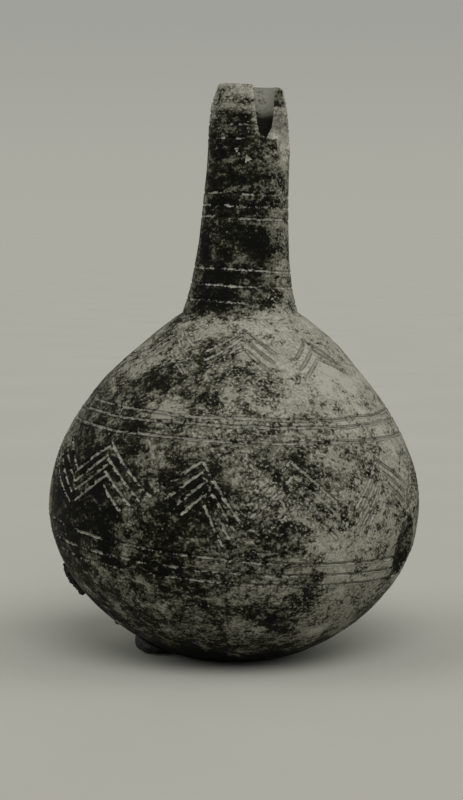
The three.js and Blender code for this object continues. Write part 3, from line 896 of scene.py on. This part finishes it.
putty = {
    "wide": 12.5, "long": 17, "high": 7.5, "distance": 24.2, "azimuth": -94,
    "clear": 0.4, "sunk": 0.25, "lumps": 0.07, "grain": 0.015,
    "dark": (0.004, 0.004, 0.003), "pale": (0.014, 0.0137, 0.01),
    "dust": 0.3, "dustEdge": (1.6, 0.42, 0.3), "rough": 0.6, "dustRough": 0.3, "bump": 0.5,
}


def makeDustyFinish(name, values):
    material, tree, shader, where = startMaterial(name)
    bumps = useGroup(tree, grain, Vector=where)
    dust = raggedMask(tree, values["dust"], bumps["Fleck"], *values["dustEdge"])
    tree.links.new(blendColour(tree, dust, values["dark"], values["pale"]), shader.inputs["Base Color"])
    rough = maths(tree, "MULTIPLY_ADD", dust, values["dustRough"], values["rough"])
    tree.links.new(rough, shader.inputs["Roughness"])
    bump = node(tree, "ShaderNodeBump", Height=bumps["Fleck"], Strength=values["bump"], Distance=0.0003)
    tree.links.new(bump.outputs[0], shader.inputs["Normal"])
    return material


def makePutty():
    deselectAll()
    bpy.ops.mesh.primitive_ico_sphere_add(subdivisions=6, radius=1)
    obj = named("putty_lump")
    points = readPoints(obj) * mm  # on a ball of radius 1
    lumps = 1 + putty["lumps"] * roughness(points, 0.7, 3, 31)
    lumps += putty["grain"] * roughness(points, 0.15, 2, 32)
    points *= lumps[:, None]
    square = 0.5 * putty["high"] * np.sign(points[:, 2]) * np.abs(points[:, 2]) ** 0.7
    x = 0.5 * putty["long"] * points[:, 0]
    y = 0.5 * putty["wide"] * points[:, 1]
    turn = math.radians(putty["azimuth"])
    level = np.maximum(0, square + 0.5 * putty["high"] - putty["sunk"])
    spot = np.stack([x * math.cos(turn) - y * math.sin(turn) + putty["distance"] * math.sin(turn),
                     x * math.sin(turn) + y * math.cos(turn) - putty["distance"] * math.cos(turn), level], 1)
    reach = np.hypot(spot[:, 0], spot[:, 1])
    belly = slice(curveSteps + 1, 700)  # the outline from the flat up the lower belly
    under = np.interp(reach, pathRadius[belly], pathHeight[belly]) - putty["clear"]
    spot[:, 2] = np.maximum(0, np.minimum(spot[:, 2], under))
    writePoints(obj, spot)
    outwards(obj)
    bpy.ops.object.shade_smooth()
    obj.data.materials.append(makeDustyFinish("dark putty", putty))
    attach(obj, "root")
    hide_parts("putty_wad")
    print("putty", len(obj.data.polygons), "faces")
    return obj


# Soil that clings to the left of the belly

soil = {
    # azimuth, height, size
    "lumps": [(-93, 26.4, 1.1), (-91, 25.2, 1.5), (-95, 23.6, 2.1), (-90, 22.0, 1.7), (-94, 20.7, 2.0),
              (-91, 19.4, 1.5), (-97, 25.4, 1.2), (-88, 23.4, 1.1), (-89, 20.4, 1.0), (-92, 9.4, 0.9)],
    "sunk": 0.8, "ragged": 0.45, "dark": (0.006, 0.0058, 0.004), "pale": (0.05, 0.047, 0.036),
    "dust": 0.4, "dustEdge": (1.8, 0.45, 0.35), "rough": 0.85, "dustRough": 0.1, "bump": 0.8,
}


def makeSoil():
    made = []
    for i, (azimuth, height, size) in enumerate(soil["lumps"]):
        deselectAll()
        bpy.ops.mesh.primitive_ico_sphere_add(subdivisions=4, radius=size * mm)
        obj = bpy.context.object
        points = readPoints(obj)
        points *= (1 + soil["ragged"] * roughness(points / size, 0.8, 4, 40 + i))[:, None]
        aside = np.array([axisOffset(height) - soil["sunk"], 0, 0])
        points += onSurface(math.radians(azimuth), height) + aside
        writePoints(obj, points)
        made.append(obj)
    deselectAll()
    for obj in made:
        obj.select_set(True)
    bpy.context.view_layer.objects.active = made[0]
    bpy.ops.object.join()
    obj = named("soil_crumbs")
    bpy.ops.object.shade_smooth()
    obj.data.materials.append(makeDustyFinish("dry soil", soil))
    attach(obj, "root")
    print("soil", len(obj.data.polygons), "faces")
    return obj


# Where each finish shows on the vessel, kept as attributes for its material

paint = {
    "breakShade": (166, 168), "breakShadeRight": (30, 40),  # heights and azimuths where the break's faces get painted shade
    "frayed": (151, 157.5),  # heights over which the bare clay thins out downwards
    "hollow": (7, 10),  # below the lip, where painted shade darkens the inside
    # how far the painted shade darkens the break
    # more crust over the whole inside: partly pale crust, partly painted light on the inside's upper wall
    # the spall's faces get one fixed dark grey tone
    "spallTone": 0.24, "hollowCrust": 0.3, "breakShadeAmount": 0.6,
}


def storeAttribute(obj, name, values):
    layer = obj.data.attributes.new(name, "FLOAT", "POINT")
    layer.data.foreach_set("value", np.asarray(values, np.float32))


def paintVessel(obj):
    points = readPoints(obj)
    sides = {}
    corner = np.zeros(len(obj.data.loops), int)
    obj.data.loops.foreach_get("vertex_index", corner)
    total = np.zeros(len(obj.data.polygons), int)
    obj.data.polygons.foreach_get("loop_total", total)
    slotOf = np.zeros(len(obj.data.polygons), int)
    obj.data.polygons.foreach_get("material_index", slotOf)
    perCorner = np.repeat(slotOf, total)
    names = [m.name for m in obj.data.materials]
    faces = np.bincount(corner, minlength=len(points))
    for name in ("hollowSide", "brokenSide", "spallSide", "chipSide"):
        inSlot = (perCorner == names.index(name)).astype(float)
        sides[name] = np.bincount(corner, weights=inSlot, minlength=len(points)) / faces
    points[:, 0] -= axisOffset(points[:, 2]) + bulge(points[:, 2])
    azimuth = azimuthOf(points)
    flat = onSurface(azimuth, np.clip(points[:, 2], 0.05, bottle["height"] - 0.3))
    distance, index = nearestStroke(flat)
    half = np.array(strokes.half)[index]
    groove = np.where(sides["spallSide"] > 0, 3, np.minimum(3, distance / half))
    chipped = sides["chipSide"] > 0
    storeAttribute(obj, "groove", np.where(chipped, 0, groove))
    storeAttribute(obj, "fill", np.where(chipped, 2, np.array(strokes.fill)[index]))
    # the inside's crust raised, partly painted light on its upper wall
    crust = crustAndShadingField(points, azimuth) + paint["hollowCrust"] * sides["hollowSide"]
    # painted shade on the break's upper right faces: less crust, and no bare clay there
    breakShade = smoothStep(points[:, 2], *paint["breakShade"])
    breakShade *= smoothStep(np.degrees(azimuth), *paint["breakShadeRight"])
    breakShade *= sides["brokenSide"]
    crust = np.where(sides["spallSide"] > 0, paint["spallTone"], crust - paint["breakShadeAmount"] * breakShade)
    storeAttribute(obj, "crust", crust)
    # painted shade: the inside darkens from a little below the lip downwards
    deepIn = smoothStep(bottle["height"] - points[:, 2], *paint["hollow"])
    storeAttribute(obj, "hollow", sides["hollowSide"] * deepIn)
    fading = 0.3 + 0.7 * smoothStep(points[:, 2], *paint["frayed"])
    storeAttribute(obj, "broken", (sides["brokenSide"] - breakShade) * fading)
    obj.data.polygons.foreach_set("material_index", np.zeros(len(obj.data.polygons), int))
    obj.data.materials.clear()
    obj.data.materials.append(makeWare())
    makeActive(obj)
    bpy.ops.object.shade_smooth_by_angle(angle=math.radians(55))


def finishVessel():
    obj = makeVessel()
    paintVessel(obj)
    print("vessel", sum(len(face.vertices) - 2 for face in obj.data.polygons), "triangles")
    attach(obj, "root")
    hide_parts("vessel")
    return obj


# Floor, lights and camera

studio = {
    "floorRadius": 30, "floorColour": (0.4, 0.397, 0.358),
    "backdrop": (0.408, 0.406, 0.358), "backdropHigh": (0.346, 0.348, 0.322), "backdropFade": 0.13,
    # softboxes far off: direction that each shines from, how wide it looks in degrees, strength
    "softboxes": [
        ((0.15, -1.0, 1.05), 34, 1.42),
        ((-1.0, -0.4, 0.9), 50, 0.76),
        ((1.0, -0.4, 0.9), 50, 0.88),
    ],
    "lens": 92.25, "sensor": 36, "tilt": 4.88, "cameraPlace": (-0.76, -625.25, 131.6),
}


def makeFloor():
    deselectAll()
    bpy.ops.mesh.primitive_circle_add(vertices=128, radius=studio["floorRadius"], fill_type="TRIFAN")
    obj = named("pale_floor")
    material, tree, shader, where = startMaterial("pale floor")
    mottle = node(tree, "ShaderNodeTexNoise", Vector=where, Scale=9.0, Detail=3.0, Roughness=0.6)
    shade = fade(tree, mottle.outputs["Fac"], 0.3, 0.7)
    tone = blendColour(tree, shade, studio["floorColour"], tuple(1.03 * c for c in studio["floorColour"]))
    tree.links.new(tone, shader.inputs["Base Color"])
    shader.inputs["Roughness"].default_value = 0.95
    shader.inputs["Specular IOR Level"].default_value = 0.0
    obj.data.materials.append(material)
    return obj


def addSoftbox(name, source, width, strength):
    deselectAll()
    bpy.ops.object.light_add(type="SUN", location=Vector(source))
    lamp = named(name)
    lamp.data.angle = math.radians(width)
    lamp.data.energy = strength
    lamp.rotation_euler = Vector(source).to_track_quat("Z", "Y").to_euler()
    return lamp


def makeStudio():
    s = studio
    makeFloor()
    for i, softbox in enumerate(s["softboxes"]):
        addSoftbox("softbox %d" % (i + 1), *softbox)
    world = bpy.data.worlds.new("pale backdrop")
    world.use_nodes = True
    sky = world.node_tree
    direction = node(sky, "ShaderNodeTexCoord").outputs["Generated"]
    rise = node(sky, "ShaderNodeSeparateXYZ", Vector=direction).outputs["Z"]
    tone = blendColour(sky, fade(sky, rise, 0.0, s["backdropFade"]), s["backdrop"], s["backdropHigh"])
    sky.links.new(tone, sky.nodes["Background"].inputs["Color"])
    bpy.context.scene.world = world
    bpy.context.scene.view_settings.view_transform = "Standard"
    deselectAll()
    bpy.ops.object.camera_add(location=Vector(s["cameraPlace"]) * mm,
                              rotation=(math.radians(90 - s["tilt"]), 0, 0))
    camera = bpy.context.object
    camera.data.lens = s["lens"]
    camera.data.sensor_width = s["sensor"]
    camera.data.clip_start = 0.01
    bpy.context.scene.camera = camera
    print("studio ready")


makeStudio()
finishVessel()
makePutty()
makeSoil()
